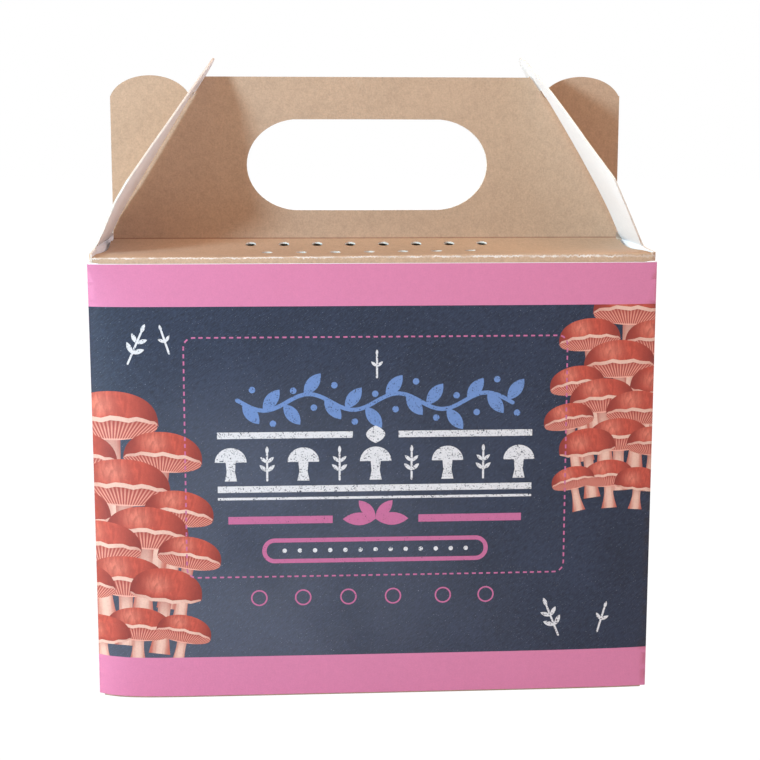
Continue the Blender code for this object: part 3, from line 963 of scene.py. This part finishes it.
slate_colour = rgb(42, 50, 70)
slate_print, tree, shader = new_material("slate_print", 0.62)
where = on_sleeve(tree)
slanted = add_node(tree, "Mapping", {0: where, "Rotation": (0, 0, radians(-38))}).outputs[0]
brushed = noise(slanted, 1, 3, (420, 2600, 1), 0.4)
crossed = noise(where, 1, 2, (1900, 700, 1))
dusty = noise(where, 28, 4)
specks = between(noise(where, 2300, 1), 0.70, 0.76)
tone = plus(times(brushed, 0.9), times(crossed, 0.35))
tone = plus(tone, times(dusty, 0.4))
colour = lay_over(rgb(24, 34, 54), rgb(44, 55, 80), tone, 0.62, 1.05)
flat = add_node(tree, "SeparateXYZ", {0: where}).outputs
# Painted reflection: a pale cloudy sheen on the slate towards its lower left, standing in for the bright
# floor and key light reflected in the print's coat
painted_sheen = times(between(flat[0], 0.10, -0.07), between(flat[1], 0.150, 0.075))
painted_sheen = times(painted_sheen, between(noise(where, 22, 3), 0.25, 0.60, 0.45, 1.0))
colour = blend_colours(times(painted_sheen, 0.10), colour, rgb(190, 196, 214))
colour = blend_colours(times(specks, 0.40), colour, rgb(190, 195, 210))
paper_look(shader, where, colour, 0.10, 0.05, 0.15)

lap_place, lap_shadow_half_width = -0.1480, 0.0004
pink_print, tree, shader = new_material("pink_print", 0.55)
where = on_sleeve(tree)
along = add_node(tree, "SeparateXYZ", {0: where}).outputs[0]
from_lap = calc("ABSOLUTE", minus(along, lap_place))
# Painted shadow: a thin darker line down the glued lap on the left side, standing in for the shade of its
# raised edge
colour = lay_over(rgb(210, 124, 162), rgb(165, 80, 112), from_lap, 0.0, lap_shadow_half_width, 0.5, 0.0)
paper_look(shader, where, colour, 0.10, 0.07, 0.2)


def chalk(name, colour, cover):
    """Chalk lines: a colour broken by specks of the slate under it."""
    made, tree, shader = new_material(name, 0.7)
    where = on_sleeve(tree)
    broken = plus(times(noise(where, 1700, 3), 0.7), times(noise(where, 420, 2), 0.3))
    worn = lay_over(slate_colour, colour, broken, cover - 0.06, cover + 0.05)
    paper_look(shader, where, worn, 0.10, 0.10, 0.2)
    return made


white_chalk = chalk("white_chalk", rgb(217, 215, 219), 0.42)
blue_chalk = chalk("blue_chalk", rgb(104, 134, 188), 0.40)
rose_chalk = chalk("rose_chalk", rgb(190, 103, 146), 0.36)


def new_mushroom_print(name, roughness):
    """A new material, its shader, its place on the sleeve, and the measures of each shape on it."""
    made, tree, shader = new_material(name, roughness)
    marks = on_sleeve(tree, "marks")
    return made, shader, on_sleeve(tree), marks, add_node(tree, "SeparateXYZ", {0: marks}).outputs


cap_print, shader, lay, marks, axes = new_mushroom_print("cap_print", 0.5)
deep, coral, pale, gloss = rgb(138, 50, 43), rgb(200, 84, 67), rgb(226, 168, 152), rgb(226, 136, 116)
streaks = noise(marks, 1, 3, (9, 2.2, 1), 0.8)
ruffle = noise(lay, 260, 3)
edge = plus(calc("ABSOLUTE", axes[0]), times(streaks, 0.5))
colour = lay_over(coral, deep, edge, 0.55, 1.25)
values = {0: marks, 1: (-0.25, 0.62, 0)}
from_gloss = add_node(marks.id_data, "VectorMath", values, operation="DISTANCE").outputs["Value"]
colour = lay_over(colour, gloss, from_gloss, 0.0, 0.55, 0.7, 0.0)
low = plus(axes[1], times(ruffle, 0.12))
colour = lay_over(colour, deep, low, 0.10, 0.42, 0.55, 0.0)
colour = lay_over(colour, pale, low, 0.06, 0.13, 1.0, 0.0)
colour = lay_over(colour, deep, streaks, 0.35, 0.70, 0.45, 0.0)
paper_look(shader, lay, colour, 0.25, 0.12, 0.15)

gill_print, shader, lay, _, axes = new_mushroom_print("gill_print", 0.55)
angle = calc("ARCTAN2", axes[0], plus(axes[1], 2.6))
comb = calc("SINE", times(angle, 210))
colour = lay_over(rgb(168, 74, 64), rgb(218, 146, 130), comb, -0.6, 0.8)
colour = lay_over(colour, rgb(150, 54, 48), axes[1], -0.2, 0.9, 0.0, 0.6)
colour = lay_over(colour, rgb(236, 176, 160), axes[1], -0.92, -0.80, 0.8, 0.0)
paper_look(shader, lay, colour, 0.2, 0.1, 0.15)

stem_print, shader, lay, marks, axes = new_mushroom_print("stem_print", 0.55)
fibres = noise(marks, 1, 3, (6, 2.5, 1), 0.5)
edge = plus(calc("ABSOLUTE", axes[0]), times(fibres, 0.6))
colour = lay_over(rgb(226, 184, 168), rgb(186, 98, 84), edge, 0.4, 1.2)
colour = lay_over(colour, rgb(160, 74, 66), axes[1], 0.55, 1.0, 0.0, 0.6)
paper_look(shader, lay, colour, 0.2, 0.12, 0.15)

prints = (slate_print, pink_print, cap_print, gill_print, stem_print, white_chalk, blue_chalk, rose_chalk,
          white_liner)
thicken(sleeve, card, prints, len(prints), len(prints), False)
smooth(sleeve, 40)
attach(sleeve, "carton")
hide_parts("printed_sleeve")

# Grow bag: a filled bag of soft clear film with straw and white threads of spawn in it. It stands
# inside the carton and fills it to a little under the creases, with its mouth folded over on top.
bag_low, bag_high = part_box("grow_bag")
bag_middle = (bag_low + bag_high) / 2
bag_half = (bag_high - bag_low) / 2 - Vector((0.0012, 0.0024, 0.0014))
bag_round = 0.012
pick()
bpy.ops.mesh.primitive_cube_add(size=2)
bag = bpy.context.object
bag.name = "grow_bag_film"
bpy.ops.object.mode_set(mode="EDIT")
bpy.ops.mesh.subdivide(number_cuts=38)
bpy.ops.object.mode_set(mode="OBJECT")
for vertex in bag.data.vertices:
    cube = vertex.co.copy()
    full = Vector([cube[axis] * bag_half[axis] for axis in range(3)])
    core = Vector([min(max(full[axis], bag_round - bag_half[axis]), bag_half[axis] - bag_round)
                   for axis in range(3)])
    out = (full - core).normalized() if (full - core).length > 1e-9 else cube.normalized()
    crease = (0.0006 * sin(210 * full.x + 3 * sin(160 * full.z)) * sin(95 * full.z + 2 * sin(60 * full.y))
              + 0.0004 * sin(420 * full.y + 260 * full.x + 4 * sin(130 * full.z)))
    if cube.z > 0.99 or cube.z < -0.99:
        crease *= 0.6
    swell = 0.0011 * cos(pi / 2 * cube.x) * cos(pi / 2 * cube.z) if abs(cube.y) > 0.9 else 0
    spot = core + out * (bag_round - 0.0011 + crease + swell)
    if cube.z > 0.9:
        spot.z -= 0.0030 - 0.0020 * cos(pi / 2 * cube.x) * cos(pi / 2 * cube.y)
    vertex.co = spot + bag_middle

# The mouth: two layers of flat film folded down on the top and held by a plain strip of tape
fold_rows = [(0.030, 0.0), (0.020, 0.0004), (0.008, 0.0007), (-0.008, 0.0010), (-0.020, 0.0012),
             (-0.0224, 0.0017), (-0.0215, 0.0023), (-0.018, 0.0024), (-0.004, 0.0023), (0.010, 0.0021),
             (0.022, 0.0018)]
bag_top_z = max(vertex.co.z for vertex in bag.data.vertices)


def place_fold(share, row):
    back, rise = fold_rows[row]
    ripple = 0.00025 * sin(34 * share + 60 * back)
    return Vector((share * 0.088, back + 0.0004 * sin(9 * share), bag_top_z - 0.0016 + rise * 0.7 + ripple))


mouth = fold_grid("bag_mouth", 60, len(fold_rows) - 1, place_fold)
film, tree, shader = new_material("bag_film", 0.32)
spot = object_place(tree)
straw = noise(spot, 1, 4, (170, 120, 520), 1.2)
chips = noise(spot, 210, 3, None, 0.8)
threads = noise(spot, 46, 5, None, 1.5)
colour = lay_over(rgb(96, 66, 42), rgb(158, 122, 82), straw, 0.35, 0.65)
colour = lay_over(colour, rgb(60, 40, 28), chips, 0.58, 0.70, 0.0, 0.7)
colour = lay_over(colour, rgb(226, 218, 204), threads, 0.50, 0.66, 0.0, 0.85)
dress(shader, colour, noise(spot, 1, 4, (60, 60, 190), 1.6), 0.35, 0.0012)
shader.inputs["Coat Weight"].default_value = 0.5
shader.inputs["Coat Roughness"].default_value = 0.18
clear, tree, shader = new_material("bag_mouth_film", 0.30)
spot = object_place(tree)
colour = blend_colours(noise(spot, 90, 3), rgb(190, 178, 158), rgb(222, 214, 198))
dress(shader, colour, noise(spot, 1, 3, (40, 260, 100), 0.8), 0.3, 0.0008)
tape, tree, shader = new_material("bag_tape", 0.45)
paper_look(shader, object_place(tree), rgb(206, 186, 150), 0.12, 0.10, 0.15)


def place_tape(share, row):
    from_middle = abs(-0.001 + (row - 8) * 0.0040)
    dip = 0.0022 * within((from_middle - 0.018) / 0.006) ** 0.5
    return Vector((share * 0.012, -0.034 + row * 0.0040, bag_top_z + 0.0004 - dip))


bag.data.materials.append(film)
film_thickness = 0.0002
thicken(mouth, film_thickness, (clear, clear, clear))
strip = fold_grid("bag_tape", 12, 16, place_tape)
thicken(strip, film_thickness, (tape, tape, tape))
bag = join("grow_bag_film", [bag, mouth, strip])
smooth(bag, 50)
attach(bag, "carton")
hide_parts("grow_bag")
